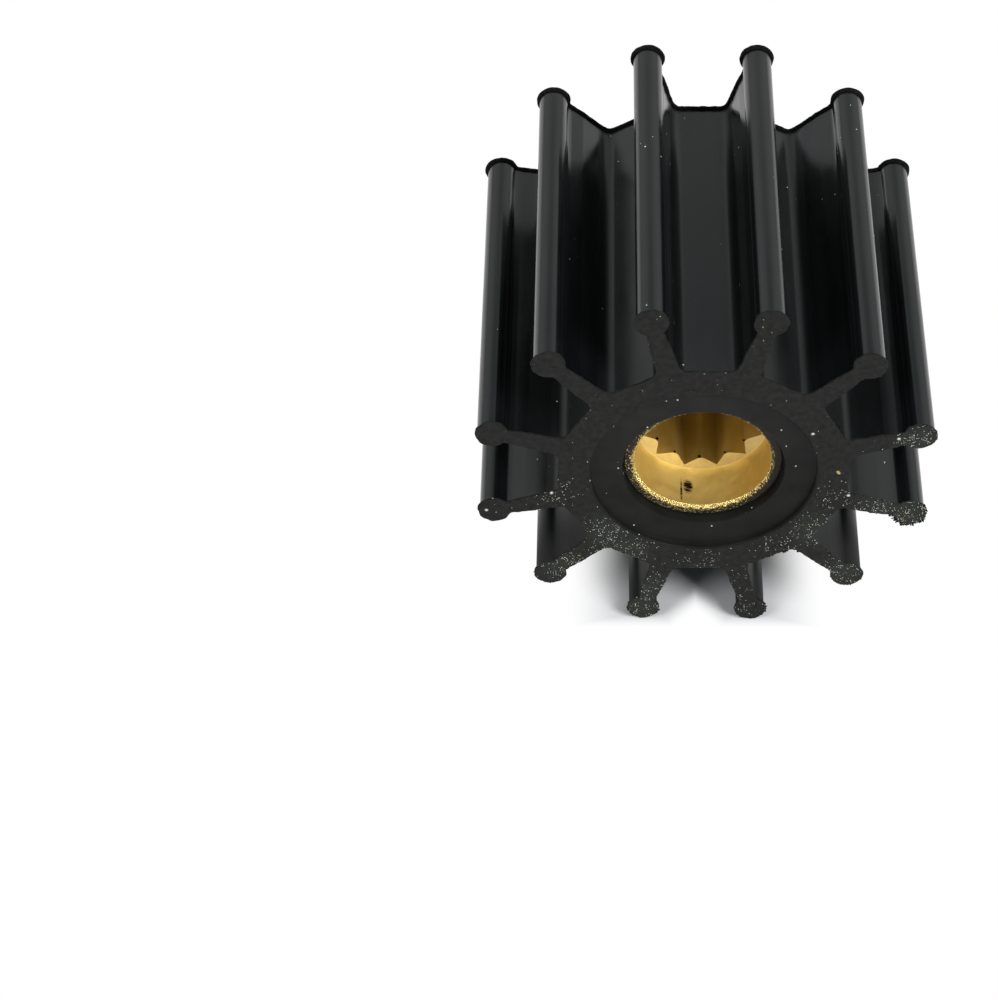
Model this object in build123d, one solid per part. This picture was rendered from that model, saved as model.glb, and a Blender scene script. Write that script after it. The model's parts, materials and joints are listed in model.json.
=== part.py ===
from build123d import *
import math
import os

# Flexible-vane pump impeller, lying on two blade tips with its shaft line along Y.
# Millimetres. The origin is on the shaft line, midway between the end faces, and the recessed
# front face looks to -Y. Each piece is built along its own Z with the front end up, and then
# laid on its side.

# Rubber body: size over all
BODY_LENGTH = 48.0          # front end face to rear end face
TIP_DIAMETER = 57.0         # over the moulded tip beads, flash not counted

# Rubber body: blades
BLADE_COUNT = 12
BEAD_DIAMETER = 3.6         # round bead along each blade's tip
ROOT_THICKNESS = 2.3        # blade where it leaves the hub
SHOULDER_THICKNESS = 2.1    # blade where its taper to the neck begins
NECK_THICKNESS = 1.7        # thinnest place, just under the bead
NECK_TAPER_LENGTH = 1.8     # from the shoulder out to the neck
NECK_DEPTH = 2.5            # from the bead's centre line in to the neck
NECK_FILLET = 0.8           # between neck and bead

# Rubber body: hub
HUB_ACROSS_FLATS = 35.1     # over opposite floors between the blades
ROOT_FILLET = 1.3           # between floor and blade

# Rubber body: flash left by the mould's two end plates
FLASH_THICKNESS = 0.5
FRONT_FLASH = 0.3           # how far it stands out at the front end
REAR_FLASH = 0.45           # how far it stands out at the rear end

# Rubber body: recess in the front face
RECESS_DIAMETER = 27.7
RECESS_DEPTH = 0.9
RECESS_BEVEL = 0.2          # round the recess mouth

# Brass insert
INSERT_DIAMETER = 19.6
FRONT_SETBACK = 2.15        # brass lies this far under the front end face
REAR_SETBACK = 1.0          # brass lies this far under the rear end face
THROAT_STEP = 0.15          # rubber stands back from the brass edge by this much at both ends
COUNTERBORE_DIAMETER = 16.8
COUNTERBORE_DEPTH = 6.45
MOUTH_CHAMFER = 0.35        # inner edge of the counterbore
RIM_CHAMFER = 0.2           # outer edges of the insert
REAR_LEAD = 1.0             # length of the tapered lead into the spline's rear end

# Star spline through the insert, for a 5/8 inch shaft
SPLINE_TEETH = 12
SPLINE_MAJOR_DIAMETER = 15.9
SPLINE_MINOR_DIAMETER = 12.8
TOOTH_CREST_WIDTH = 0.6     # flat before its corners are rounded
TOOTH_CREST_ROUND = 0.8
SPLINE_TURN = 0.8           # degrees between a spline groove and the nearest blade's middle

BLADE_PITCH = 360 / BLADE_COUNT
TOOTH_PITCH = 360 / SPLINE_TEETH
FLOOR_RADIUS = HUB_ACROSS_FLATS / 2
BEAD_RADIUS = BEAD_DIAMETER / 2
BEAD_CENTRE = TIP_DIAMETER / 2 - BEAD_RADIUS
NECK_RADIUS = BEAD_CENTRE - NECK_DEPTH
SHOULDER_RADIUS = NECK_RADIUS - NECK_TAPER_LENGTH
THROAT_DIAMETER = INSERT_DIAMETER + 2 * THROAT_STEP

FRONT = BODY_LENGTH / 2
REAR = -BODY_LENGTH / 2
RECESS_FLOOR = FRONT - RECESS_DEPTH
INSERT_FRONT = FRONT - FRONT_SETBACK
INSERT_REAR = REAR + REAR_SETBACK
COUNTERBORE_FLOOR = INSERT_FRONT - COUNTERBORE_DEPTH


def disc(diameter, bottom, top):
    return Pos(0, 0, bottom) * extrude(Circle(diameter / 2), top - bottom)


def taper(bottom_diameter, top_diameter, bottom, top):
    """Cone frustum on the shaft line."""
    return Pos(0, 0, (bottom + top) / 2) * Cone(bottom_diameter / 2, top_diameter / 2, top - bottom)


def polar(radius, degrees):
    angle = math.radians(degrees)
    return (radius * math.cos(angle), radius * math.sin(angle))


def distance_from_axis(vertex):
    return math.hypot(vertex.X, vertex.Y)


def blade_outline():
    """One blade pointing along +Y from the shaft line, with the bead along its tip."""
    flank = [
        (ROOT_THICKNESS / 2, 0),
        (ROOT_THICKNESS / 2, FLOOR_RADIUS),
        (SHOULDER_THICKNESS / 2, SHOULDER_RADIUS),
        (NECK_THICKNESS / 2, NECK_RADIUS),
        (NECK_THICKNESS / 2, BEAD_CENTRE),
    ]
    other_flank = [(-x, y) for x, y in reversed(flank)]
    web = Polygon(*flank, *other_flank, align=None)
    return web + Pos(0, BEAD_CENTRE) * Circle(BEAD_RADIUS)


def body_outline():
    """Hub and blades seen from the front, with the blade roots and the bead necks rounded."""
    blade_line = BLADE_PITCH / 2
    outline = RegularPolygon(FLOOR_RADIUS, BLADE_COUNT, major_radius=False, rotation=blade_line)
    for blade in range(BLADE_COUNT):
        outline += Rot(0, 0, blade_line + blade * BLADE_PITCH) * blade_outline()

    inside_shoulders = (FLOOR_RADIUS + SHOULDER_RADIUS) / 2
    roots = [v for v in outline.vertices() if distance_from_axis(v) < inside_shoulders]
    outline = fillet(roots, ROOT_FILLET)

    outside_necks = (NECK_RADIUS + BEAD_CENTRE - BEAD_RADIUS) / 2
    bead_joins = [v for v in outline.vertices() if outside_necks < distance_from_axis(v) < BEAD_CENTRE]
    return fillet(bead_joins, NECK_FILLET)


def flash(outline, stand_out, bottom):
    """Thin lip that a mould end plate leaves round the whole outline."""
    return Pos(0, 0, bottom) * extrude(offset(outline, stand_out), FLASH_THICKNESS)


def rubber_body():
    outline = body_outline()
    body = Pos(0, 0, REAR) * extrude(outline, BODY_LENGTH)
    body += flash(outline, FRONT_FLASH, FRONT - FLASH_THICKNESS)
    body += flash(outline, REAR_FLASH, REAR)
    body -= disc(RECESS_DIAMETER, RECESS_FLOOR, FRONT)
    body -= taper(RECESS_DIAMETER, RECESS_DIAMETER + 2 * RECESS_BEVEL, FRONT - RECESS_BEVEL, FRONT)
    body -= disc(THROAT_DIAMETER, INSERT_FRONT, FRONT)
    body -= disc(THROAT_DIAMETER, REAR, INSERT_REAR)
    body -= disc(INSERT_DIAMETER, INSERT_REAR, INSERT_FRONT)
    return body


def spline_outline():
    """Star-shaped hole: sharp grooves at the outside, teeth with a rounded crest inside."""
    major = SPLINE_MAJOR_DIAMETER / 2
    minor = SPLINE_MINOR_DIAMETER / 2
    half_crest = math.degrees(math.asin(TOOTH_CREST_WIDTH / 2 / minor))
    corners = []
    for tooth in range(SPLINE_TEETH):
        groove = tooth * TOOTH_PITCH
        crest = groove + TOOTH_PITCH / 2
        corners.append(polar(major, groove))
        corners.append(polar(minor, crest - half_crest))
        corners.append(polar(minor, crest + half_crest))
    star = Polygon(*corners, align=None)
    between = (major + minor) / 2
    crests = [v for v in star.vertices() if distance_from_axis(v) < between]
    star = fillet(crests, TOOTH_CREST_ROUND)
    nearest_blade = 90 - BLADE_PITCH / 2
    return Rot(0, 0, nearest_blade - SPLINE_TURN) * star


def brass_insert():
    insert = disc(INSERT_DIAMETER, INSERT_REAR, INSERT_FRONT)
    insert = chamfer(insert.edges().filter_by(GeomType.CIRCLE), RIM_CHAMFER)
    insert -= disc(COUNTERBORE_DIAMETER, COUNTERBORE_FLOOR, INSERT_FRONT)
    mouth = COUNTERBORE_DIAMETER + 2 * MOUTH_CHAMFER
    insert -= taper(COUNTERBORE_DIAMETER, mouth, INSERT_FRONT - MOUTH_CHAMFER, INSERT_FRONT)
    insert -= Pos(0, 0, INSERT_REAR) * extrude(spline_outline(), COUNTERBORE_FLOOR - INSERT_REAR)
    lead_end = INSERT_REAR + REAR_LEAD
    insert -= taper(SPLINE_MAJOR_DIAMETER, SPLINE_MINOR_DIAMETER, INSERT_REAR, lead_end)
    return insert


def lay_on_side(piece):
    """Turn a piece that was built front-up so that its front looks to -Y."""
    return Rot(90, 0, 0) * piece


os.makedirs("parts", exist_ok=True)
export_step(lay_on_side(rubber_body()), "parts/rubber_body.step")
export_step(lay_on_side(brass_insert()), "parts/brass_insert.step")
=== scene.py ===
"""Rubber pump impeller: black moulded rubber blades on a hub, with a brass splined insert."""

import json
import math
import random

import bmesh
import bpy
from bpy.props import FloatProperty, FloatVectorProperty, IntProperty, PointerProperty
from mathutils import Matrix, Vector

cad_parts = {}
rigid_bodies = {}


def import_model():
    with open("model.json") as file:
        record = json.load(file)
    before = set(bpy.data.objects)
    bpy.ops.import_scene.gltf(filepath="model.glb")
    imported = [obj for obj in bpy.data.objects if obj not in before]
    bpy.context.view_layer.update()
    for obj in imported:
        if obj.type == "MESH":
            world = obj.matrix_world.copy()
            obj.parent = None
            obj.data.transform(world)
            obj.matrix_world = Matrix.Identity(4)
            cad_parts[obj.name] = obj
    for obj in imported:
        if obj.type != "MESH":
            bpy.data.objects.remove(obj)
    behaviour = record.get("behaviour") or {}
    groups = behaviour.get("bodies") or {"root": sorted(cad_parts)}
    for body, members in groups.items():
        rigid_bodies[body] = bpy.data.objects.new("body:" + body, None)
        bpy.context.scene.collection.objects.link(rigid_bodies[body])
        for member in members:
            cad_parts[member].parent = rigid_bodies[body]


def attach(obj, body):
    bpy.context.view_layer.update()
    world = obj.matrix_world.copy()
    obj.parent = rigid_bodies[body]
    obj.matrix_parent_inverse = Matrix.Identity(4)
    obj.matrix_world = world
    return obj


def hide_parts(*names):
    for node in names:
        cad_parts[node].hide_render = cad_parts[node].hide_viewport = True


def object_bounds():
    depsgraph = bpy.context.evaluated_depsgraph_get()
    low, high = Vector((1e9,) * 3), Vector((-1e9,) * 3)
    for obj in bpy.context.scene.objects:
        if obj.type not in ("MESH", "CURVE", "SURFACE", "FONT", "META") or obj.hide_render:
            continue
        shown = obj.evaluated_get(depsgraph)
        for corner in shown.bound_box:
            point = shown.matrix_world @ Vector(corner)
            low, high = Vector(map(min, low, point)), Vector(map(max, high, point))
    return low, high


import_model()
CAD_LOW, CAD_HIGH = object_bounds()

bl_info = {
    "name": "Rubber Pump Impeller",
    "version": (1, 0, 0),
    "blender": (4, 5, 0),
    "location": "View3D > Sidebar > Impeller",
    "description": "Builds a flexible-vane pump impeller with a brass splined insert",
    "category": "Object",
}

MM = 0.001
CENTRE = (0, 0, 0)
SHAFT = (0, 1, 0)           # direction of the shaft line
FRONT, REAR = CAD_LOW.y, CAD_HIGH.y


# ---------------------------------------------------------------- settings


def linear(hex_colour):
    """An sRGB hex colour as linear red, green, blue and full alpha."""
    parts = [int(hex_colour[i:i + 2], 16) / 255 for i in (1, 3, 5)]
    return tuple(c / 12.92 if c <= 0.04045 else ((c + 0.055) / 1.055) ** 2.4 for c in parts) + (1,)


def length(name, description, millimetres):
    """A length setting, shown in the scene's unit, with its default given in millimetres."""
    default = millimetres * MM
    return FloatProperty(name=name, description=description, default=default, unit="LENGTH", precision=5)


def colour(name, description, hex_colour):
    """A colour setting, with its default given as an sRGB hex colour."""
    default = linear(hex_colour)
    return FloatVectorProperty(
        name=name, description=description, default=default, size=4, min=0, max=1, subtype="COLOR")


class RubberSettings(bpy.types.PropertyGroup):
    """Sizes of the moulded rubber body."""

    blades: IntProperty(name="Blades", description="Blades round the hub", default=12, min=6, max=20)
    tip: length("Tip circle", "Diameter over the beads without the flash", 57.0)
    bead: length("Bead", "Diameter of the round bead along a blade's tip", 3.6)
    root: length("Root", "Blade thickness where it leaves the hub", 2.3)
    shoulder: length("Shoulder", "Blade thickness where its taper begins", 2.1)
    neck: length("Neck", "Blade thickness just under the bead", 1.7)
    taper: length("Taper", "Length of the taper from shoulder to neck", 1.8)
    neck_depth: length("Neck depth", "From the bead's middle in to the neck", 2.5)
    neck_fillet: length("Neck fillet", "Fillet between neck and bead", 0.8)
    flats: length("Hub flats", "Hub size over opposite floors", 35.1)
    root_fillet: length("Root fillet", "Fillet between floor and blade", 1.3)
    front_flash: length("Front flash", "How far the torn lip stands out at the front", 0.36)
    rear_flash: length("Rear flash", "How far the torn lip stands out at the rear", 0.45)
    flash_depth: length("Flash depth", "Thickness of the torn lip", 0.38)
    recess: length("Recess", "Diameter of the recess in the front face", 27.7)
    recess_depth: length("Recess depth", "Depth of the recess in the front face", 0.9)


class BrassSettings(bpy.types.PropertyGroup):
    """Sizes of the turned brass insert and its spline."""

    outside: length("Outside", "Outer diameter of the insert", 19.6)
    front_setback: length("Front setback", "Brass under the front end face", 2.15)
    rear_setback: length("Rear setback", "Brass under the rear end face", 1.0)
    throat_step: length("Throat step", "Rubber standing back from the brass edge", 0.15)
    counterbore: length("Counterbore", "Diameter of the counterbore", 16.8)
    counterbore_depth: length("Counterbore depth", "Depth of the counterbore", 6.45)
    mouth_chamfer: length("Mouth chamfer", "Chamfer round the counterbore's mouth", 0.35)
    rim_chamfer: length("Rim chamfer", "Chamfer round the outer edges", 0.2)
    lead: length("Rear lead", "Tapered lead into the spline's rear end", 1.0)
    teeth: IntProperty(name="Teeth", description="Teeth of the spline", default=12, min=6, max=24)
    major: length("Spline major", "Spline diameter over its grooves", 15.9)
    minor: length("Spline minor", "Spline diameter over its crests", 12.8)
    crest: length("Crest", "Width of a tooth's crest before its corners are rounded", 0.6)
    crest_round: length("Crest round", "Radius at the corners of a tooth's crest", 0.8)
    turn: FloatProperty(name="Turn", description="Angle from a tooth's crest to the middle of a blade gap",
                        default=math.radians(0.8), subtype="ANGLE")


class FinishSettings(bpy.types.PropertyGroup):
    """Colours of the rubber and the brass, and of what lies on them."""

    rubber: colour("Rubber", "Moulded rubber", "#0c0d0e")
    bloom: colour("Bloom", "Waxy grey bloom on the moulded rubber", "#16181a")
    ground: colour("Ground rubber", "Ground end faces", "#171816")
    scuffed: colour("Scuffed rubber", "Lighter patches on the ground faces", "#292a27")
    powder: colour("Powder", "Rubber powder left by the grinding", "#363932")
    torn: colour("Torn rubber", "Torn flash", "#070706")
    dust: colour("Dust", "Pale dust and grit", "#f0eee8")
    brass_dust: colour("Brass dust", "Brass filings", "#d8c070")
    brass: colour("Brass", "Clean brass", "#f5dd8f")
    faced: colour("Faced brass", "Matt brass where it was faced", "#f6e6b4")
    film: colour("Film", "Brown film on the brass", "#8a6532")
    # Also painted on the insert's rim as shade towards its top
    soot: colour("Soot", "Black residue on the brass", "#24190b")
    # Painted shade, dark brown, on the middle teeth of the spline
    spline_shade: colour("Varnish", "Dark brown film deep in the spline", "#4a3820")


class StudioSettings(bpy.types.PropertyGroup):
    """The camera, and the colours of the floor and the room."""

    camera_place: FloatVectorProperty(
        name="Camera place", description="Where the camera stands", unit="LENGTH",
        default=(-13.97 * MM, -248.08 * MM, 247.14 * MM))
    camera_turn: FloatVectorProperty(
        name="Camera turn", description="The camera's rotation", subtype="EULER",
        default=(math.radians(41.652), math.radians(1.1734), math.radians(1.538)))
    lens: FloatProperty(name="Lens", description="Focal length in millimetres", default=97.91)
    paper: colour("Paper", "White floor", "#e9ebee")
    skirting: colour("Skirting", "Lowest part of the room, all round", "#a9aeb1")
    walls: colour("Walls", "Middle part of the room, all round", "#d6d8d6")
    ceiling: colour("Ceiling", "High part of the room", "#98a3a6")
    shade: colour("Shade", "The dim side of the room, towards the front", "#525455")


# ---------------------------------------------------------------- modelling helpers

WELD = 0.005 * MM           # points closer together than this are one point
FLAT = 0.02 * MM            # points closer to a plane than this are on it
SHARP_ANGLE = math.radians(30)
PROFILE_SPACING = 4 * MM
TURNED_STEPS = 192
CORNER_MIDDLE = 0.3         # share of a round corner's size that its middle point is away from both walls


def finish_editing():
    """Leave edit mode, if a piece is open in it."""
    if bpy.context.object and bpy.context.object.mode == "EDIT":
        bpy.ops.object.mode_set(mode="OBJECT")


def start_vertex(point):
    """Add one selected vertex to the open mesh."""
    bpy.ops.mesh.select_all(action="DESELECT")
    bpy.ops.mesh.primitive_plane_add(size=MM)
    bpy.ops.mesh.merge(type="CENTER")
    bpy.ops.transform.translate(value=point)


def new_piece(name):
    """An empty mesh at the origin, open in edit mode."""
    finish_editing()
    bpy.ops.object.select_all(action="DESELECT")
    bpy.ops.mesh.primitive_plane_add(size=MM)
    piece = bpy.context.object
    piece.name = name
    piece.data.name = name
    bpy.ops.object.mode_set(mode="EDIT")
    bpy.ops.mesh.select_all(action="SELECT")
    bpy.ops.mesh.delete(type="VERT")
    return piece


def run(start, end, spacing=math.inf):
    """Extrude the selected vertex in a straight line from start to end."""
    start, end = Vector(start), Vector(end)
    steps = max(1, round((end - start).length / spacing))
    for _ in range(steps):
        bpy.ops.mesh.extrude_vertices_move(TRANSFORM_OT_translate={"value": (end - start) / steps})


def arc(centre, radius, degrees, spacing):
    """Spin the selected vertex about a line along the shaft; positive degrees turn from +Z to +X."""
    steps = max(2, round(radius * abs(math.radians(degrees)) / spacing))
    bpy.ops.mesh.spin(steps=steps, angle=-math.radians(degrees), center=centre, axis=SHAFT)


def select(test, kind="verts"):
    """Select in the open mesh every element whose points all pass the test."""
    mesh = bmesh.from_edit_mesh(bpy.context.object.data)
    bpy.ops.mesh.select_all(action="DESELECT")
    for item in getattr(mesh, kind):
        points = [item] if kind == "verts" else item.verts
        if all(test(point.co) for point in points):
            item.select_set(True)
    mesh.select_flush_mode()
    bmesh.update_edit_mesh(bpy.context.object.data)


def merge_doubles():
    """Weld the points of the open mesh that lie on top of one another."""
    bpy.ops.mesh.select_all(action="SELECT")
    bpy.ops.mesh.remove_doubles(threshold=WELD)


def mirror_left():
    """Copy everything in the open mesh to the other side of the YZ plane and weld the middle."""
    bpy.ops.mesh.select_all(action="SELECT")
    bpy.ops.mesh.duplicate()
    bpy.ops.transform.resize(value=(-1, 1, 1), center_override=CENTRE)
    merge_doubles()


def turn_all(degrees):
    """Turn the open mesh about the shaft line, from +Z towards +X."""
    bpy.ops.mesh.select_all(action="SELECT")
    bpy.ops.transform.rotate(value=math.radians(degrees), orient_axis="Y", center_override=CENTRE)


def copy_round(count):
    """Copy everything in the open mesh round the shaft line, count places in all, and weld the joins."""
    bpy.ops.mesh.select_all(action="SELECT")
    turn = math.tau / count
    bpy.ops.mesh.spin(steps=count - 1, dupli=True, angle=turn * (count - 1), center=CENTRE, axis=SHAFT)
    merge_doubles()


def turn_profile(points):
    """Draw a profile from its first (radius, y) point through the rest and turn it round the shaft."""
    corners = [Vector((radius, y, 0)) for radius, y in points]
    start_vertex(corners[0])
    for start, end in zip(corners, corners[1:]):
        run(start, end, PROFILE_SPACING)
    bpy.ops.mesh.select_linked()
    bpy.ops.mesh.spin(steps=TURNED_STEPS, angle=math.tau, center=CENTRE, axis=SHAFT)
    bpy.ops.mesh.select_all(action="DESELECT")


def close_end(plane):
    """Flatten the open loops near the plane y = plane and fill the area between them."""
    select(lambda place: abs(place.y - plane) < FLAT)
    bpy.ops.transform.resize(value=(1, 0, 1), center_override=(0, plane, 0))
    bpy.ops.mesh.fill(use_beauty=False)


def close_shell():
    """Weld the whole open mesh and turn its faces outwards."""
    merge_doubles()
    bpy.ops.mesh.normals_make_consistent(inside=False)


def weight(piece, name, share):
    """A vertex group that holds share(place) of every vertex that has any."""
    group = piece.vertex_groups.new(name=name)
    for vertex in piece.data.vertices:
        amount = share(vertex.co)
        if amount > 0:
            group.add([vertex.index], min(1, amount), "REPLACE")


def push_out(piece, group, travel, texture):
    """Push a vertex group outwards by its weights, as far as the texture says, and apply it."""
    push = piece.modifiers.new(group, "DISPLACE")
    push.vertex_group = group
    push.direction = "NORMAL"
    push.strength = travel
    push.mid_level = 0
    push.texture = texture
    push.texture_coords = "LOCAL"
    bpy.ops.object.modifier_apply(modifier=push.name)


def give_finish(material, test=None):
    """Add a material to the open piece, and assign it to the faces whose points all pass the test."""
    piece = bpy.context.object
    piece.data.materials.append(material)
    if test:
        select(test, "faces")
        piece.active_material_index = len(piece.data.materials) - 1
        bpy.ops.object.material_slot_assign()


def interpolate(value, table):
    """Read a table of (value, result) rows, in rising order, with straight lines between them."""
    for (below, low), (above, high) in zip(table, table[1:]):
        if value <= above:
            share = max(0, (value - below) / (above - below))
            return low + (high - low) * share
    return table[-1][1]


# ---------------------------------------------------------------- rubber

OUTLINE_SPACING = 0.18 * MM
PLAIN_ROWS = 12             # rows of faces between the front flash and the rear one
FLASH_SHAPE = ((0.0, 0.80), (0.22, 1.0), (0.7, 0.95), (0.92, 0.5), (1.0, 0.0))   # shares of depth and reach
HUB_REACH = 1.0             # share of the flash's reach on the hub
FLANK_REACH = 0.8           # and along the blades
REACH_BLEND = 1.0 * MM      # over which one reach gives way to the next
REAR_RAGGEDNESS = 0.2       # share of the flash's reach that is torn in and out
FRONT_RAGGEDNESS = 0.5
CLOUD_SPREAD = 0.4          # the cloud texture's usual span from low to high
CLOUD_MIDDLE = 0.5          # and its middle value
TEAR = 0.8 * MM             # size of the larger bites in the flash
TEAR_DETAIL = 4             # times that smaller bites are added to the larger ones
PROUD = 0.98                # keeps the tilted normals of the flash inside the full reach
RECESS_BEVEL = 0.2 * MM
RECESS_CORNER = 0.3 * MM
THROAT_ROUND = 0.2 * MM


def half_blade(size, spacing):
    """Draw half of one blade's outline in the XZ plane, from the tip down to mid-floor."""
    bead = size.bead / 2
    bead_middle = size.tip / 2 - bead
    floor = size.flats / 2
    half_pitch = math.pi / size.blades
    neck_x = size.neck / 2
    neck_round, root_round = size.neck_fillet, size.root_fillet

    neck_drop = math.sqrt((bead + neck_round) ** 2 - (neck_x + neck_round) ** 2)
    bead_sweep = 180 - math.degrees(math.atan2(neck_x + neck_round, neck_drop))
    arc((0, 0, bead_middle), bead, bead_sweep, spacing)
    arc((neck_x + neck_round, 0, bead_middle - neck_drop), neck_round, 90 - bead_sweep, spacing)

    root_x = size.root / 2 + root_round
    root_z = (floor + root_round - root_x * math.sin(half_pitch)) / math.cos(half_pitch)
    neck_z = bead_middle - size.neck_depth
    flank = [
        (neck_x, 0, bead_middle - neck_drop),
        (neck_x, 0, neck_z),
        (size.shoulder / 2, 0, neck_z - size.taper),
        (size.root / 2, 0, root_z),
    ]
    for start, end in zip(flank, flank[1:]):
        run(start, end, spacing)
    arc((root_x, 0, root_z), root_round, math.degrees(half_pitch) - 90, spacing)

    to_floor = Vector((math.sin(half_pitch), 0, math.cos(half_pitch)))
    foot = Vector((root_x, 0, root_z)) - root_round * to_floor
    run(foot, floor * to_floor, spacing)


def rubber_rows(size):
    """Depths of the rows of points, from the rear end face to the front one."""
    body = REAR - FRONT
    rear = [share * size.flash_depth for share, _ in FLASH_SHAPE]
    front = [body - depth for depth in reversed(rear)]
    step = (front[0] - rear[-1]) / PLAIN_ROWS
    between = [rear[-1] + step * row for row in range(1, PLAIN_ROWS)]
    return rear[1:] + between + front


def extrude_rows(depths):
    """Extrude the selected loop along the shaft line, one row of faces to each depth in turn."""
    here = 0
    for depth in depths:
        bpy.ops.mesh.extrude_edges_move(TRANSFORM_OT_translate={"value": (0, here - depth, 0)})
        here = depth


def flash_share(place, size, end):
    """How much of its full reach the flash has here: it is widest along the beads."""
    depth = abs(place.y - end) / size.flash_depth
    hub = size.flats / 2 + size.root_fillet
    bead = size.tip / 2 - size.bead
    across = (
        (hub, HUB_REACH), (hub + REACH_BLEND, FLANK_REACH), (bead, FLANK_REACH), (bead + REACH_BLEND, 1.0))
    return interpolate(depth, FLASH_SHAPE) * interpolate(math.hypot(place.x, place.z), across)


def tear_flash(piece, size):
    """Swell the end rows into the thin lip that the mould's end plates leave, torn off raggedly."""
    for name, end, reach, raggedness in (
            ("rear_flash", REAR, size.rear_flash, REAR_RAGGEDNESS),
            ("front_flash", FRONT, size.front_flash, FRONT_RAGGEDNESS)):
        bites = bpy.data.textures.new(name, "CLOUDS")
        bites.noise_scale = TEAR
        bites.noise_depth = TEAR_DETAIL
        bites.contrast = raggedness / CLOUD_SPREAD
        bites.intensity = 1 + (1 - raggedness / 2) - CLOUD_MIDDLE
        bites.use_clamp = True
        weight(piece, name, lambda place: flash_share(place, size, end))
        push_out(piece, name, PROUD * reach, bites)


def add_bore(size, brass):
    """Turn the front recess, the throats and the insert's seat, and close both end faces round them."""
    recess = size.recess / 2
    seat = brass.outside / 2
    throat = seat + brass.throat_step
    floor = FRONT + size.recess_depth
    turn_profile(
        [
            (recess + RECESS_BEVEL, FRONT),
            (recess, FRONT + RECESS_BEVEL),
            (recess, floor - RECESS_CORNER),
            (recess - RECESS_CORNER * CORNER_MIDDLE, floor - RECESS_CORNER * CORNER_MIDDLE),
            (recess - RECESS_CORNER, floor),
            (throat + THROAT_ROUND, floor),
            (throat + THROAT_ROUND * CORNER_MIDDLE, floor + THROAT_ROUND * CORNER_MIDDLE),
            (throat, floor + THROAT_ROUND),
            (throat, FRONT + brass.front_setback),
            (seat, FRONT + brass.front_setback),
            (seat, REAR - brass.rear_setback),
            (throat, REAR - brass.rear_setback),
            (throat, REAR),
        ]
    )
    merge_doubles()
    for end in (FRONT, REAR):
        close_end(end)


def on_flash(size, end):
    """A test for points on the flash at one end."""
    inner = size.recess / 2 + RECESS_BEVEL
    deep = size.flash_depth + FLAT
    return lambda place: place.xz.length > inner + FLAT and abs(place.y - end) < deep


def on_end_face(place):
    """Whether a point of the rubber is on one of its end faces."""
    return min(place.y - FRONT, REAR - place.y) < FLAT


def on_core_moulding(size):
    """A test for points in the recess and in the front throat."""
    inner = size.recess / 2 + RECESS_BEVEL
    return lambda place: place.xz.length < inner + FLAT and place.y < 0


def build_rubber(size, brass, finish):
    """The moulded body: hub, blades and torn flash, the front recess and the seat of the insert."""
    piece = new_piece("moulded_rubber")
    start_vertex((0, REAR, size.tip / 2))
    half_blade(size, OUTLINE_SPACING)
    mirror_left()
    turn_all(180 / size.blades)
    copy_round(size.blades)
    extrude_rows(rubber_rows(size))
    close_shell()
    finish_editing()
    tear_flash(piece, size)
    bpy.ops.object.mode_set(mode="EDIT")
    add_bore(size, brass)
    close_shell()
    give_finish(moulded_neoprene(finish))
    give_finish(torn_neoprene(finish), on_flash(size, REAR))
    on_front_flash = on_flash(size, FRONT)
    give_finish(ground_neoprene(finish), lambda place: on_front_flash(place) or on_end_face(place))
    give_finish(core_moulded_neoprene(finish), on_core_moulding(size))
    finish_editing()
    bpy.ops.object.shade_smooth_by_angle(angle=SHARP_ANGLE)
    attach(piece, "root")
    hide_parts("rubber_body")
    return piece


# ---------------------------------------------------------------- rubber crumbs

CRUMB_SEED = 7
CREST_CRUMB = 0.55 * MM
CRUMB_FLATTENING = 0.6
CRUMB_SQUEEZE = (0.6, 1.2)      # least and most that a crumb is squeezed along each axis
CRUMB_SHAKE = 0.3               # how far its corners are knocked out of place, as a share of its radius
CRUMB_ROOM = 1.6                # radii of clear space that holds any crumb
CRUMB_SIZES = (0.4, 1.0)        # sizes in a heap, as shares of its largest
CREST_SIZES = (0.7, 1.1)        # sizes of the crumbs on the spline teeth
# Where the grinding left crumbs on the front outline: x and z of the heap, its size, how many crumbs,
# how large and how far out they hang, in millimetres.
CRUMB_HEAPS = (
    (24.5, -8.7, 1.1, 26, 0.50, 0.55),
    (26.6, -9.0, 1.1, 22, 0.45, 0.55),
    (25.6, -8.3, 2.4, 60, 0.36, 0.25),
    (27.9, -6.5, 1.5, 26, 0.30, 0.15),
    (20.5, -6.6, 3.0, 26, 0.26, 0.10),
    (27.8, 8.0, 2.2, 24, 0.24, 0.05),
    (24.6, 5.0, 2.0, 16, 0.26, 0.10),
    (13.2, -14.0, 1.5, 12, 0.40, 0.20),
    (11.4, -15.3, 1.2, 14, 0.50, 0.35),
    (9.0, -16.0, 1.6, 12, 0.30, 0.10),
    (18.6, -18.8, 2.4, 30, 0.26, 0.05),
    (15.6, -16.0, 2.4, 20, 0.24, 0.05),
    (-7.2, -26.0, 2.4, 34, 0.30, 0.10),
    (7.0, -26.0, 2.4, 34, 0.30, 0.10),
    (-5.4, -21.0, 2.5, 16, 0.28, 0.05),
    (-20.8, -19.8, 2.4, 20, 0.22, 0.05),
    (22.5, 3.4, 2.5, 6, 0.18, 0.0),
    (16.5, 2.5, 2.5, 6, 0.22, 0.0),
    (16.9, 9.2, 1.5, 14, 0.35, 0.25),
    (-18.0, -2.8, 2.5, 6, 0.18, 0.0),
    (0.0, -20.0, 16.0, 90, 0.22, 0.03),
    (0.0, -18.0, 40.0, 90, 0.16, 0.0),
)


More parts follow.
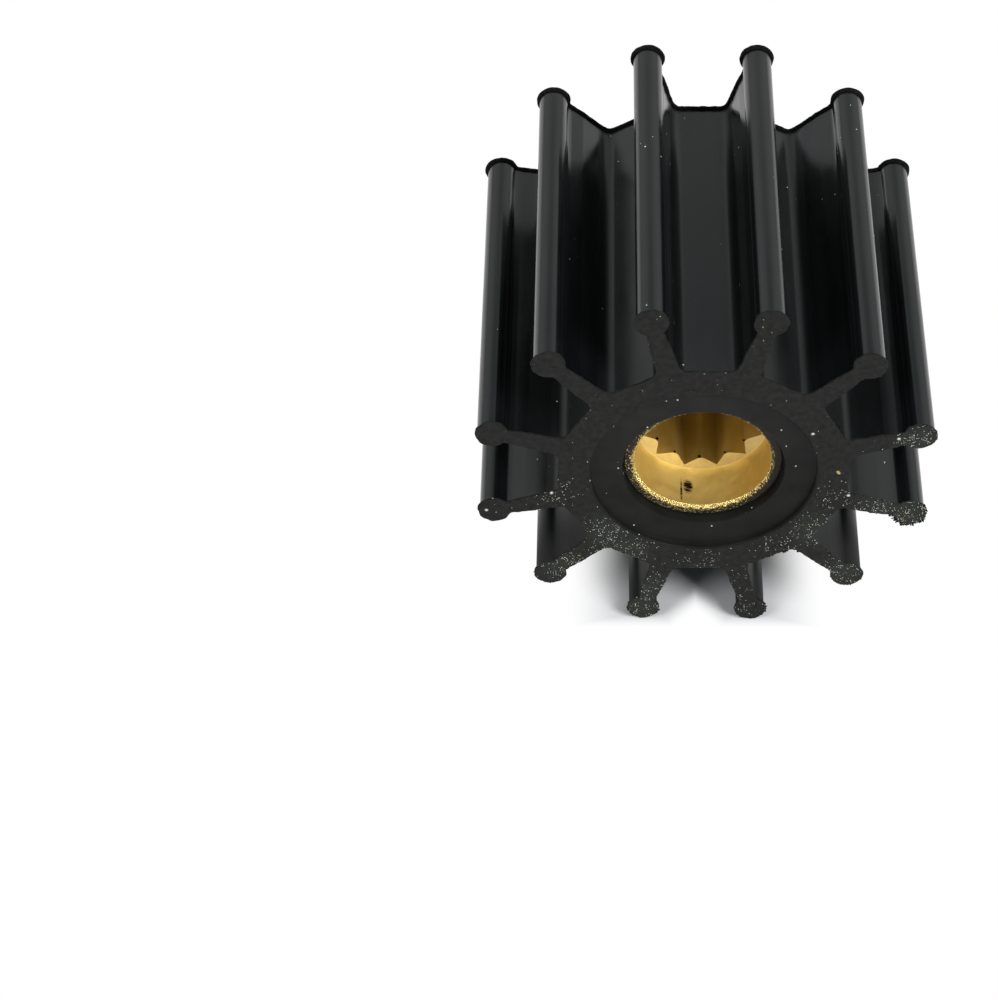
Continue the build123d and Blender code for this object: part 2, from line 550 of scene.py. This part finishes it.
def add_crumb(place, radius, chance):
    """One small lump, squeezed and knocked out of round."""
    bpy.ops.mesh.select_all(action="DESELECT")
    bpy.ops.mesh.primitive_ico_sphere_add(subdivisions=1, radius=radius, location=place)
    squeeze = [chance.uniform(*CRUMB_SQUEEZE) for _ in range(3)]
    squeeze[1] *= CRUMB_FLATTENING
    bpy.ops.transform.resize(value=squeeze, center_override=place)
    bpy.ops.transform.vertex_random(offset=radius * CRUMB_SHAKE, seed=chance.randrange(1000))


def add_rim_crumbs(rim, chance):
    """Hang the heaps of crumbs on the rim, which is a list of places and outward directions."""
    for x, z, spread, count, largest, hang in CRUMB_HEAPS:
        middle = Vector((x * MM, z * MM))
        near = [(place, away) for place, away in rim if (place.xz - middle).length < spread * MM]
        for place, away in chance.choices(near, k=count):
            radius = largest * MM * chance.uniform(*CRUMB_SIZES) / 2
            room = CRUMB_ROOM * radius
            hung = place.xz + away * hang * MM * chance.random()
            across = min(max(hung.x, CAD_LOW.x + room), CAD_HIGH.x - room)
            up = min(max(hung.y, CAD_LOW.z + room), CAD_HIGH.z - room)
            add_crumb(Vector((across, FRONT + room * CRUMB_FLATTENING, up)), radius, chance)


def add_crest_crumbs(brass, chance):
    """Put one crumb on the crest of each spline tooth, at the foot of the counterbore."""
    crest = brass.minor / 2 - CREST_CRUMB / 4
    step = FRONT + brass.front_setback + brass.counterbore_depth
    for tooth in range(brass.teeth):
        angle = brass.turn + tooth * math.tau / brass.teeth
        place = Vector((crest * math.sin(angle), step + CREST_CRUMB / 4, crest * math.cos(angle)))
        add_crumb(place, CREST_CRUMB / 2 * chance.uniform(*CREST_SIZES), chance)


def build_crumbs(rubber, size, brass):
    """Crumbs of rubber that cling to the front outline, and one at the crest of each spline tooth."""
    torn = on_flash(size, FRONT)
    rim = [
        (vertex.co.copy(), vertex.normal.xz.normalized())
        for vertex in rubber.data.vertices
        if torn(vertex.co)
    ]
    piece = new_piece("rubber_crumbs")
    chance = random.Random(CRUMB_SEED)
    add_rim_crumbs(rim, chance)
    add_crest_crumbs(brass, chance)
    bpy.ops.mesh.select_all(action="SELECT")
    bpy.ops.mesh.normals_make_consistent(inside=False)
    give_finish(rubber.data.materials["torn_neoprene"])
    finish_editing()
    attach(piece, "root")
    return piece


# ---------------------------------------------------------------- brass

ROUND_SPACING = 0.1 * MM
STEP_CORNER = 0.15 * MM
LEAD_OVERRUN = 0.2          # share of the lead's length by which the cutting cone passes both of its ends
LEAD_CLEARANCE = 0.02 * MM  # how far the cone clears the bottoms of the grooves at the rear end
FLAT_ANGLE = math.radians(0.5)      # faces that meet at less than this are one flat face


def half_tooth(brass, plane):
    """Draw half of one spline tooth in the plane y = plane, from its crest out to the groove."""
    crest_x = brass.crest / 2
    crest_z = math.sqrt((brass.minor / 2) ** 2 - crest_x ** 2)
    half_pitch = math.pi / brass.teeth
    to_groove = Vector((math.sin(half_pitch), 0, math.cos(half_pitch)))
    groove = Vector((0, plane, 0)) + brass.major / 2 * to_groove
    bend = math.atan2(groove.z - crest_z, groove.x - crest_x)
    tangent = brass.crest_round * math.tan(bend / 2)
    flank = Vector((crest_x + tangent * math.cos(bend), plane, crest_z + tangent * math.sin(bend)))
    start_vertex((0, plane, crest_z))
    run((0, plane, crest_z), (crest_x - tangent, plane, crest_z))
    middle = (crest_x - tangent, plane, crest_z + brass.crest_round)
    arc(middle, brass.crest_round, -math.degrees(bend), ROUND_SPACING)
    run(flank, groove)


def cut_rear_lead(piece, brass, rear):
    """Cut the tapered lead into the rear end of the spline with a cone."""
    major, minor = brass.major / 2 + LEAD_CLEARANCE, brass.minor / 2 + LEAD_CLEARANCE
    past = LEAD_OVERRUN * brass.lead
    widen = LEAD_OVERRUN * (major - minor)
    bpy.ops.object.select_all(action="DESELECT")
    bpy.ops.mesh.primitive_cone_add(
        vertices=TURNED_STEPS, radius1=major + widen, radius2=minor - widen,
        depth=brass.lead + 2 * past, location=(0, rear - brass.lead / 2, 0), rotation=(math.pi / 2, 0, 0))
    cone = bpy.context.object
    bpy.ops.object.select_all(action="DESELECT")
    piece.select_set(True)
    bpy.context.view_layer.objects.active = piece
    cut = piece.modifiers.new("lead", "BOOLEAN")
    cut.object = cone
    cut.operation = "DIFFERENCE"
    cut.solver = "EXACT"
    bpy.ops.object.modifier_apply(modifier=cut.name)
    bpy.data.objects.remove(cone)


def clean_cut(planes):
    """Make each flat face one again after the cut, and fill the faces at those heights along y anew."""
    for plane in planes:
        select(lambda place: abs(place.y - plane) < FLAT, "faces")
        bpy.ops.mesh.delete(type="FACE")
    bpy.ops.mesh.select_all(action="SELECT")
    bpy.ops.mesh.dissolve_limited(angle_limit=FLAT_ANGLE)
    for plane in planes:
        close_end(plane)


def build_brass(brass, finish):
    """The turned insert with its counterbore, star spline and rear lead."""
    front = FRONT + brass.front_setback
    rear = REAR - brass.rear_setback
    step = front + brass.counterbore_depth
    outside, counterbore = brass.outside / 2, brass.counterbore / 2
    rim = outside - brass.rim_chamfer
    piece = new_piece("brass_bush")
    half_tooth(brass, step)
    mirror_left()
    turn_all(math.degrees(brass.turn))
    copy_round(brass.teeth)
    bpy.ops.mesh.extrude_edges_move(TRANSFORM_OT_translate={"value": (0, rear - step, 0)})
    turn_profile(
        [
            (counterbore - STEP_CORNER, step),
            (counterbore - STEP_CORNER * CORNER_MIDDLE, step - STEP_CORNER * CORNER_MIDDLE),
            (counterbore, step - STEP_CORNER),
            (counterbore, front + brass.mouth_chamfer),
            (counterbore + brass.mouth_chamfer, front),
            (rim, front),
            (outside, front + brass.rim_chamfer),
            (outside, rear - brass.rim_chamfer),
            (rim, rear),
        ]
    )
    for end in (step, rear):
        close_end(end)
    close_shell()
    finish_editing()
    cut_rear_lead(piece, brass, rear)
    bpy.ops.object.mode_set(mode="EDIT")
    clean_cut((step, rear))
    close_shell()
    in_spline = brass.major / 2 + FLAT
    in_bore, on_rim = counterbore - FLAT, front + brass.mouth_chamfer + FLAT
    give_finish(turned_brass(finish))
    give_finish(broached_brass(finish), lambda place: place.xz.length < in_spline and place.y > step - FLAT)
    give_finish(faced_brass(finish), lambda place: place.xz.length < in_bore and place.y < step + FLAT)
    give_finish(soiled_brass(finish, brass), lambda place: place.xz.length > in_bore and place.y < on_rim)
    finish_editing()
    bpy.ops.object.shade_smooth_by_angle(angle=SHARP_ANGLE)
    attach(piece, "root")
    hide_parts("brass_insert")
    return piece


# ---------------------------------------------------------------- patterns

NOISE_SPAN = (0.35, 0.65)   # nearly all of a noise's values lie between these


def node(tree, kind, inputs=None, **settings):
    """Add a shader node; an input is a number or colour to set, or another node's output to link."""
    made = tree.nodes.new(kind)
    for name, value in settings.items():
        setattr(made, name, value)
    for name, value in (inputs or {}).items():
        if isinstance(value, bpy.types.NodeSocket):
            tree.links.new(value, made.inputs[name])
        else:
            made.inputs[name].default_value = value
    return made


def new_material(name):
    """A material with an empty node tree, the tree, and its Object coordinates."""
    material = bpy.data.materials.new(name)
    material.use_nodes = True
    tree = material.node_tree
    tree.nodes.clear()
    return material, tree, node(tree, "ShaderNodeTexCoord").outputs["Object"]


def maths(tree, operation, *values, use_clamp=False):
    """The result of a maths node."""
    inputs = dict(enumerate(values))
    return node(tree, "ShaderNodeMath", inputs, operation=operation, use_clamp=use_clamp).outputs[0]


def ramp(tree, value, span, low=0, high=1, smooth=False):
    """A number that goes from low to high as the value goes through the span."""
    inputs = {"Value": value, "From Min": span[0], "From Max": span[1], "To Min": low, "To Max": high}
    kind = "SMOOTHSTEP" if smooth else "LINEAR"
    return node(tree, "ShaderNodeMapRange", inputs, interpolation_type=kind).outputs[0]


def surfaced(material, colour, relief, inputs):
    """The material with this colour, this relief and these other inputs of its Principled shader.

    The relief is a height, the depth that a height of 1 stands for, and how strongly it shows.
    """
    tree = material.node_tree
    height, depth, strength = relief
    bump = node(tree, "ShaderNodeBump", {"Height": height, "Distance": depth, "Strength": strength})
    shader = node(tree, "ShaderNodeBsdfPrincipled", {
        "Base Color": colour, "Normal": bump.outputs["Normal"], **inputs})
    node(tree, "ShaderNodeOutputMaterial", {"Surface": shader.outputs["BSDF"]})
    return material


def coated(tree, colour, *coats):
    """A colour under coats, each of them a share and a colour, with the last one on top."""
    for share, coat in coats:
        mixed = node(tree, "ShaderNodeMix", {0: share, 6: colour, 7: coat}, data_type="RGBA")
        colour = mixed.outputs[2]
    return colour


def cloudy(tree, place, grain, low, high, sizes=(1, 1, 1), detail=3):
    """Cloudy noise with patches of that grain, stretched by sizes, as numbers from low to high."""
    scale = [1 / (grain * size) for size in sizes]
    scaled = node(tree, "ShaderNodeMapping", {"Vector": place, "Scale": scale})
    noise = node(tree, "ShaderNodeTexNoise", {"Vector": scaled.outputs[0], "Scale": 1, "Detail": detail})
    return ramp(tree, noise.outputs[0], NOISE_SPAN, low, high)


def heaps(tree, place, centres, reach, low, high, stretch=1):
    """High close to any of the centres, given in millimetres, and low a reach away from all of them.

    The heaps are longer along the shaft by the stretch.
    """
    if stretch != 1:
        place = node(tree, "ShaderNodeMapping", {"Vector": place, "Scale": (1, 1 / stretch, 1)}).outputs[0]
    nearest = 1
    for x, y, z in centres:
        at = (x * MM, y * MM / stretch, z * MM)
        gap = node(tree, "ShaderNodeVectorMath", {0: place, 1: at}, operation="DISTANCE").outputs["Value"]
        nearest = maths(tree, "MINIMUM", gap, nearest)
    return ramp(tree, nearest, (0, reach), high, low, smooth=True)


def radius_of(tree, place):
    """Distance from the shaft line."""
    across = node(tree, "ShaderNodeVectorMath", {0: place, 1: (1, 0, 1)}, operation="MULTIPLY")
    return node(tree, "ShaderNodeVectorMath", {0: across.outputs[0]}, operation="LENGTH").outputs["Value"]


def grit(tree, place, spacing, largest, share):
    """Grains up to the largest size across, in a share of the cells of that spacing.

    Gives a mask of the grains, and for each grain a number from 0 to 1 that tells its kind.
    """
    cells = node(tree, "ShaderNodeTexVoronoi", {"Vector": place, "Scale": 1 / spacing})
    chance = node(tree, "ShaderNodeSeparateXYZ", {0: cells.outputs["Color"]}).outputs
    most = largest / spacing / 2
    radius = maths(tree, "MULTIPLY", chance["Y"], most)
    inside = maths(tree, "LESS_THAN", cells.outputs["Distance"], radius)
    chosen = maths(tree, "LESS_THAN", chance["X"], share)
    mask = maths(tree, "MULTIPLY", inside, chosen)
    return mask, chance["Z"]


def turning_marks(tree, place, grain):
    """Fine rings round the shaft, on walls and faces alike, as numbers from 0 to 1."""
    along = node(tree, "ShaderNodeSeparateXYZ", {0: place}).outputs["Y"]
    travel = maths(tree, "ADD", radius_of(tree, place), along)
    rings = node(
        tree, "ShaderNodeTexNoise", {"W": travel, "Scale": 1 / grain, "Detail": 2}, noise_dimensions="1D")
    return rings.outputs[0]


# ---------------------------------------------------------------- materials

NEOPRENE_IOR = 1.52
ROOT_RADIUS = 18.7 * MM     # middle of the fillets at the blade roots
ROOT_BAND = (0.6 * MM, 1.2 * MM)        # distances from it between which the dull root gives way to gloss
BRASS_KIND = 0.96           # grains of a higher kind are brass filings, and the others are pale dust
TOOL_RINGS = 0.15 * MM      # spacing of the rings that the turning tool leaves
PAINTED_SHADE_SIDE = (2 * MM, 8 * MM)            # x between which the painted shade on the turned brass thickens
SPLINE_SHADE = (5.0 * MM, 6.4 * MM)          # distances to both sides between which the spline's painted shade fades
SPLINE_SHADE_WIDENING = 0.22     # how much those distances grow along the shaft towards the rear
# Where dust lies thickest on the ground front face and where it lies thinner, where single flakes
# stick to it, where dust and a dull film of it lie on the moulded rubber, and where a black smear is on
# the counterbore wall: x, y and z in millimetres.
GROUND_DUST = (
    (-11.6, -24, -11.0), (-9.5, -24, -14.5), (-17.4, -24, -17.4), (-6.1, -24, -22.2), (-7.1, -24, -25.7),
    (26.0, -24, 6.3), (25.4, -24, -6.8), (22.0, -24, -5.8), (18.3, -24, -18.4), (14.5, -24, -10.5),
)
THIN_DUST = (
    (6.8, -24, -25.0), (5.6, -24, -20.5), (0.5, -24, -16.5), (10.0, -24, -14.5), (17.0, -24, -4.0),
    (-18.6, -24, -3.6),
)
PALE_FLAKES = (
    (23.25, -24, 6.54), (17.96, -24, -3.73), (12.88, -24, 7.33), (12.35, -24, 15.45), (-18.62, -24, -3.61),
    (-26.75, -24, -6.87),
)
BRASS_FLAKES = ((16.36, -24, 0.57), (16.5, -24, 0.35))
FLAKE = 0.32 * MM
MOULDED_DUST = ((-7.6, 16, 27.5), (-8, 5, 27.4), (18.5, 14, 20.6), (5.0, 13, 18.5), (-4.6, 16, 17.6))
DULL = ((0, -25, -25), (-14, -25, -21), (14, -25, -21))
SMEAR = ((-1.55, -18.6, -8.26),)
SMEAR_TRAIL = ((-2.4, -19.6, -8.05),)


def moulded_neoprene(finish):
    # Black neoprene, compression moulded in a smooth steel cavity: a soft gloss with faint marks
    # along the way it was drawn from the mould, a thin uneven grey bloom and stray dust. It is duller
    # in the blade roots, and under a film of grinding dust on the lowest blades near the front.
    material, tree, place = new_material("moulded_neoprene")
    bloom = cloudy(tree, place, grain=4 * MM, low=0, high=0.55, sizes=(1, 2.5, 1))
    drawn = cloudy(tree, place, grain=0.35 * MM, low=0, high=0.5, sizes=(1, 40, 1))
    skin = cloudy(tree, place, grain=0.25 * MM, low=0, high=1)
    gloss = cloudy(tree, place, grain=2.5 * MM, low=0.17, high=0.25, sizes=(1, 4, 1))
    film = heaps(tree, place, DULL, reach=17 * MM, low=0, high=1)
    around = radius_of(tree, place)
    from_root = maths(tree, "SUBTRACT", around, ROOT_RADIUS)
    off_root = maths(tree, "ABSOLUTE", from_root)
    root = ramp(tree, off_root, ROOT_BAND, 0.2, 0)
    dull = maths(tree, "MAXIMUM", film, root)
    rough = ramp(tree, dull, (0, 0.6), gloss, 0.8)
    dusty = heaps(tree, place, MOULDED_DUST, reach=5 * MM, low=0.012, high=0.18)
    dust, _ = grit(tree, place, spacing=0.5 * MM, largest=0.22 * MM, share=dusty)
    surface = coated(tree, finish.rubber, (bloom, finish.bloom), (film, finish.ground), (dust, finish.dust))
    marks = maths(tree, "ADD", drawn, skin)
    return surfaced(material, surface, (marks, 0.002 * MM, 0.5), {"Roughness": rough, "IOR": NEOPRENE_IOR})


def core_moulded_neoprene(finish):
    # The same rubber against the core pin: smoother and more even, with a little dust.
    material, tree, place = new_material("core_moulded_neoprene")
    bloom = cloudy(tree, place, grain=3 * MM, low=0.15, high=0.5)
    gloss = cloudy(tree, place, grain=2 * MM, low=0.4, high=0.5)
    skin = cloudy(tree, place, grain=0.25 * MM, low=0, high=1)
    dust, _ = grit(tree, place, spacing=0.7 * MM, largest=0.2 * MM, share=0.14)
    surface = coated(tree, finish.ground, (bloom, finish.scuffed), (dust, finish.dust))
    return surfaced(material, surface, (skin, 0.003 * MM, 0.5), {
        "Roughness": gloss, "IOR": NEOPRENE_IOR, "Specular IOR Level": 0.07})


def ground_neoprene(finish):
    # Neoprene ground flat: a dull, dark grey nap that scatters light, and full of white and brass grit.
    material, tree, place = new_material("ground_neoprene")
    scuffs = cloudy(tree, place, grain=0.8 * MM, low=0, high=0.7)
    nap = cloudy(tree, place, grain=0.2 * MM, low=0, high=1)
    thick = heaps(tree, place, GROUND_DUST, reach=5.5 * MM, low=0.015, high=0.7)
    thin = heaps(tree, place, THIN_DUST, reach=5 * MM, low=0, high=0.4)
    dusty = maths(tree, "MAXIMUM", thick, thin)
    clumps = cloudy(tree, place, grain=0.9 * MM, low=-0.1, high=1.2)
    share = maths(tree, "MULTIPLY", dusty, clumps)
    dust, kind = grit(tree, place, spacing=0.18 * MM, largest=0.16 * MM, share=share)
    brassy = maths(tree, "GREATER_THAN", kind, BRASS_KIND)
    bright = ramp(tree, kind, (0, 1), 0.1, 1.15)
    grains = coated(tree, finish.scuffed, (bright, finish.dust), (brassy, finish.brass_dust))
    powder = heaps(tree, place, GROUND_DUST, reach=5 * MM, low=0, high=0.6)
    pale = heaps(tree, place, PALE_FLAKES, reach=FLAKE, low=0, high=1)
    golden = heaps(tree, place, BRASS_FLAKES, reach=FLAKE, low=0, high=1)
    surface = coated(tree, finish.ground, (scuffs, finish.scuffed), (powder, finish.powder), (dust, grains),
                     (pale, finish.dust), (golden, finish.brass_dust))
    return surfaced(material, surface, (nap, 0.06 * MM, 0.7), {
        "Roughness": 0.8, "IOR": NEOPRENE_IOR, "Specular IOR Level": 0.2})


def torn_neoprene(finish):
    # Neoprene torn off along the mould's parting line: a ragged, matt black that swallows light.
    material, tree, place = new_material("torn_neoprene")
    tear = cloudy(tree, place, grain=0.3 * MM, low=0, high=1, detail=4)
    surface = coated(tree, finish.torn, (tear, finish.ground))
    return surfaced(material, surface, (tear, 0.1 * MM, 0.7), {
        "Roughness": 0.9, "IOR": NEOPRENE_IOR, "Specular IOR Level": 0.2})


def turned_brass(finish):
    # Free-cutting brass turned on a lathe: pale warm metal with fine tool rings, a thin brown film
    # in uneven patches, painted shade in that brown which thickens to the right, and one smear of black
    # residue in the counterbore.
    material, tree, place = new_material("turned_brass")
    rings = turning_marks(tree, place, TOOL_RINGS)
    patches = cloudy(tree, place, grain=2.2 * MM, low=0, high=0.06)
    across = node(tree, "ShaderNodeSeparateXYZ", {0: place}).outputs["X"]
    # painted shade: the film's brown laid on thicker towards the right of the counterbore wall
    film = ramp(tree, across, PAINTED_SHADE_SIDE, patches, 0.3)
    gloss = cloudy(tree, place, grain=1.5 * MM, low=0.54, high=0.62)
    patch = heaps(tree, place, SMEAR, reach=0.8 * MM, low=0, high=1, stretch=1.8)
    trail = heaps(tree, place, SMEAR_TRAIL, reach=0.2 * MM, low=0, high=0.6, stretch=14)
    smear = maths(tree, "MAXIMUM", patch, trail)
    streaks = cloudy(tree, place, grain=0.2 * MM, low=0.3, high=3.6, sizes=(8, 1, 8))
    sooty = maths(tree, "MULTIPLY", smear, streaks, use_clamp=True)
    surface = coated(tree, finish.brass, (film, finish.film), (sooty, finish.soot))
    return surfaced(material, surface, (rings, 0.008 * MM, 0.5), {"Metallic": 1.0, "Roughness": gloss})


def faced_brass(finish):
    # The same brass faced square at the foot of the counterbore: paler and more matt than its wall.
    material, tree, place = new_material("faced_brass")
    rings = turning_marks(tree, place, TOOL_RINGS)
    film = cloudy(tree, place, grain=1.2 * MM, low=0, high=0.1)
    gloss = cloudy(tree, place, grain=1.0 * MM, low=0.58, high=0.66)
    surface = coated(tree, finish.faced, (film, finish.film))
    return surfaced(material, surface, (rings, 0.008 * MM, 0.5), {"Metallic": 1.0, "Roughness": gloss})


def broached_brass(finish):
    # The same brass cut by a broach: drawn lines along the shaft, with painted shade in dark brown on the
    # middle teeth that widens towards the rear.
    material, tree, place = new_material("broached_brass")
    drawn = cloudy(tree, place, grain=0.18 * MM, low=0, high=1, sizes=(1, 60, 1))
    parts = node(tree, "ShaderNodeSeparateXYZ", {0: place}).outputs
    # Painted shade: dark brown down the middle of the spline, widening towards the rear
    aside = maths(tree, "ABSOLUTE", parts["X"])
    from_middle = maths(tree, "MULTIPLY_ADD", parts["Y"], -SPLINE_SHADE_WIDENING, aside)
    spline_shade = ramp(tree, from_middle, SPLINE_SHADE, 0.3, 0)
    film = cloudy(tree, place, grain=2.0 * MM, low=0, high=0.06, sizes=(1, 2, 1))
    gloss = cloudy(tree, place, grain=1.5 * MM, low=0.5, high=0.6, sizes=(1, 3, 1))
    surface = coated(tree, finish.brass, (film, finish.film), (spline_shade, finish.spline_shade))
    return surfaced(material, surface, (drawn, 0.008 * MM, 0.6), {"Metallic": 1.0, "Roughness": gloss})


def soiled_brass(finish, brass):
    # The rim that was ground with the rubber: bright flecks of brass between ground-in black rubber,
    # rubbed clean along the chamfer of the mouth. Painted shade blackens it towards the top, under the
    # rubber throat, and it is darker towards the right.
    material, tree, place = new_material("soiled_brass")
    dirt = cloudy(tree, place, grain=0.22 * MM, low=-1.5, high=2.1, detail=4)
    parts = node(tree, "ShaderNodeSeparateXYZ", {0: place}).outputs
    mouth = brass.counterbore / 2
    share = dirt
    # Painted shade: the z term blackens the rim towards its top, under the rubber throat; the x term
    # darkens it towards the right.
    for value, span, low, high in (
            (radius_of(tree, place), (mouth + 0.1 * MM, mouth + 0.6 * MM), -1.8, 1.1),
            (parts["Z"], (-4 * MM, 7 * MM), 0, 1.1),
            (parts["X"], (2 * MM, 9 * MM), 0, 1.7)):
        share = maths(tree, "ADD", share, ramp(tree, value, span, low, high))
    share = node(tree, "ShaderNodeClamp", {0: share}).outputs[0]
    metallic = maths(tree, "SUBTRACT", 1.0, share)
    gloss = ramp(tree, share, (0, 1), 0.22, 0.7)
    surface = coated(tree, finish.brass, (share, finish.soot))
    return surfaced(material, surface, (dirt, 0.05 * MM, 0.6), {"Metallic": metallic, "Roughness": gloss})


# ---------------------------------------------------------------- stage

FLOOR_SIZE = 20.0
WHITE = (1, 1, 1, 1)
HORIZON = (0.03, 0.045)     # sines of the elevations between which white gives way to the room
WALLS_FROM = (0.05, 0.35)   # and between which the skirting gives way to the walls
CEILING_FROM = (0.64, 0.70)
LIT_FROM = (-0.5, 0.1)      # how far the directions point to the rear where shade gives way to light
# The shaded paper turns pure white between these distances, a painted white glow: to the sides, to the
# front, to the rear, and from the middle of the front end outwards, a painted pool of light where the light
# comes in between the blades it stands on.
SHADE_ACROSS = (8 * MM, 17 * MM)
SHADE_FRONT = (23 * MM, 25.5 * MM)
SHADE_REAR = (20 * MM, 42 * MM)
SHADE_BETWEEN = (18.5 * MM, 22.5 * MM)
LAMPS = ((Vector((-0.5, -0.46, 0.6)), 2.5), (Vector((0.5, -0.46, 0.6)), 6.0))    # place and power
LAMP_SIZE = 0.35
CAMERA_CLIP = 10 * MM


def white_paper(studio):
    # Matt white paper that holds the shadow under the object and glows pure white round it; the glow is
    # painted, and between the blades it stands on it paints a pool of light.
    material, tree, place = new_material("white_paper")
    parts = node(tree, "ShaderNodeSeparateXYZ", {0: place}).outputs
    path = node(tree, "ShaderNodeLightPath").outputs
    rear = parts["Y"]
    front = maths(tree, "MULTIPLY", rear, -1)
    across = maths(tree, "ABSOLUTE", parts["X"])
    between = maths(tree, "SUBTRACT", front, across)
    shades = ((across, SHADE_ACROSS), (front, SHADE_FRONT), (rear, SHADE_REAR), (between, SHADE_BETWEEN))
    clear, seen = 0.0, 0.0
    for gap, span in shades:
        clear = maths(tree, "MAXIMUM", ramp(tree, gap, span, smooth=True), clear)
    for ray in ("Is Camera Ray", "Is Glossy Ray", "Is Transmission Ray"):
        seen = maths(tree, "MAXIMUM", path[ray], seen)
    glow = maths(tree, "MULTIPLY", clear, seen)
    paper = node(tree, "ShaderNodeBsdfDiffuse", {"Color": studio.paper})
    white = node(tree, "ShaderNodeEmission", {"Color": WHITE, "Strength": 1.0})
    shader = node(tree, "ShaderNodeMixShader", {0: glow, 1: paper.outputs[0], 2: white.outputs[0]})
    node(tree, "ShaderNodeOutputMaterial", {"Surface": shader.outputs[0]})
    return material


def white_room(studio):
    """A white room, greyer low down and at the ceiling, and dim towards the front.

    The floor's white goes on a little way above the horizon.
    """
    world = bpy.data.worlds.new("white_room")
    world.use_nodes = True
    tree = world.node_tree
    tree.nodes.clear()
    towards = node(tree, "ShaderNodeTexCoord").outputs["Generated"]
    parts = node(tree, "ShaderNodeSeparateXYZ", {0: towards}).outputs
    walls = ramp(tree, parts["Z"], WALLS_FROM, smooth=True)
    ceiling = ramp(tree, parts["Z"], CEILING_FROM, smooth=True)
    lit = ramp(tree, parts["Y"], LIT_FROM, smooth=True)
    above = ramp(tree, parts["Z"], HORIZON)
    room = coated(tree, studio.skirting, (walls, studio.walls), (ceiling, studio.ceiling))
    lit_room = coated(tree, studio.shade, (lit, room))
    shine = node(tree, "ShaderNodeBackground", {"Color": coated(tree, WHITE, (above, lit_room))})
    node(tree, "ShaderNodeOutputWorld", {"Surface": shine.outputs["Background"]})
    return world


def build_stage(studio):
    """The white floor, the room, the lamps and the camera."""
    finish_editing()
    scene = bpy.context.scene
    bpy.ops.object.select_all(action="DESELECT")
    bpy.ops.mesh.primitive_plane_add(size=FLOOR_SIZE, location=(0, 0, CAD_LOW.z))
    floor = bpy.context.object
    floor.name = "floor"
    floor.data.materials.append(white_paper(studio))
    scene.world = white_room(studio)
    for place, power in LAMPS:
        aim = place.to_track_quat("Z", "Y").to_euler()
        bpy.ops.object.light_add(type="AREA", location=place, rotation=aim)
        lamp = bpy.context.object
        lamp.name = "soft_lamp"
        lamp.data.size = LAMP_SIZE
        lamp.data.energy = power
    bpy.ops.object.camera_add(location=studio.camera_place, rotation=studio.camera_turn)
    camera = bpy.context.object
    camera.data.lens = studio.lens
    camera.data.clip_start = CAMERA_CLIP
    scene.camera = camera
    scene.view_settings.view_transform = "Standard"


# ---------------------------------------------------------------- operators


class IMPELLER_OT_rubber(bpy.types.Operator):
    """Build the moulded rubber body with its torn flash, and the crumbs that cling to it"""

    bl_idname = "impeller.rubber"
    bl_label = "Build rubber body"

    def execute(self, context):
        scene = context.scene
        body = build_rubber(scene.impeller_rubber, scene.impeller_brass, scene.impeller_finish)
        build_crumbs(body, scene.impeller_rubber, scene.impeller_brass)
        return {"FINISHED"}


class IMPELLER_OT_brass(bpy.types.Operator):
    """Build the turned brass insert with its star spline"""

    bl_idname = "impeller.brass"
    bl_label = "Build brass insert"

    def execute(self, context):
        build_brass(context.scene.impeller_brass, context.scene.impeller_finish)
        return {"FINISHED"}


class IMPELLER_OT_stage(bpy.types.Operator):
    """Set up the white floor, the soft light and the camera"""

    bl_idname = "impeller.stage"
    bl_label = "Set up stage"

    def execute(self, context):
        build_stage(context.scene.impeller_studio)
        return {"FINISHED"}


class IMPELLER_PT_panel(bpy.types.Panel):
    """Lists the steps that build the impeller"""

    bl_label = "Pump impeller"
    bl_idname = "IMPELLER_PT_panel"
    bl_space_type = "VIEW_3D"
    bl_region_type = "UI"
    bl_category = "Impeller"

    def draw(self, context):
        for step in STEPS:
            self.layout.operator(step.bl_idname)


STEPS = (IMPELLER_OT_rubber, IMPELLER_OT_brass, IMPELLER_OT_stage)
SETTINGS = {
    "impeller_rubber": RubberSettings,
    "impeller_brass": BrassSettings,
    "impeller_finish": FinishSettings,
    "impeller_studio": StudioSettings,
}


def register():
    """Add the settings, the steps and the panel."""
    for group in SETTINGS.values():
        bpy.utils.register_class(group)
    for name, group in SETTINGS.items():
        setattr(bpy.types.Scene, name, PointerProperty(type=group))
    for kind in (*STEPS, IMPELLER_PT_panel):
        bpy.utils.register_class(kind)


def unregister():
    """Take away what register added."""
    for kind in reversed((*STEPS, IMPELLER_PT_panel)):
        bpy.utils.unregister_class(kind)
    for name in SETTINGS:
        delattr(bpy.types.Scene, name)
    for group in reversed(list(SETTINGS.values())):
        bpy.utils.unregister_class(group)


def main():
    """Add the settings and steps, and run every step."""
    register()
    bpy.ops.impeller.rubber()
    bpy.ops.impeller.brass()
    bpy.ops.impeller.stage()


if __name__ == "__main__":
    main()
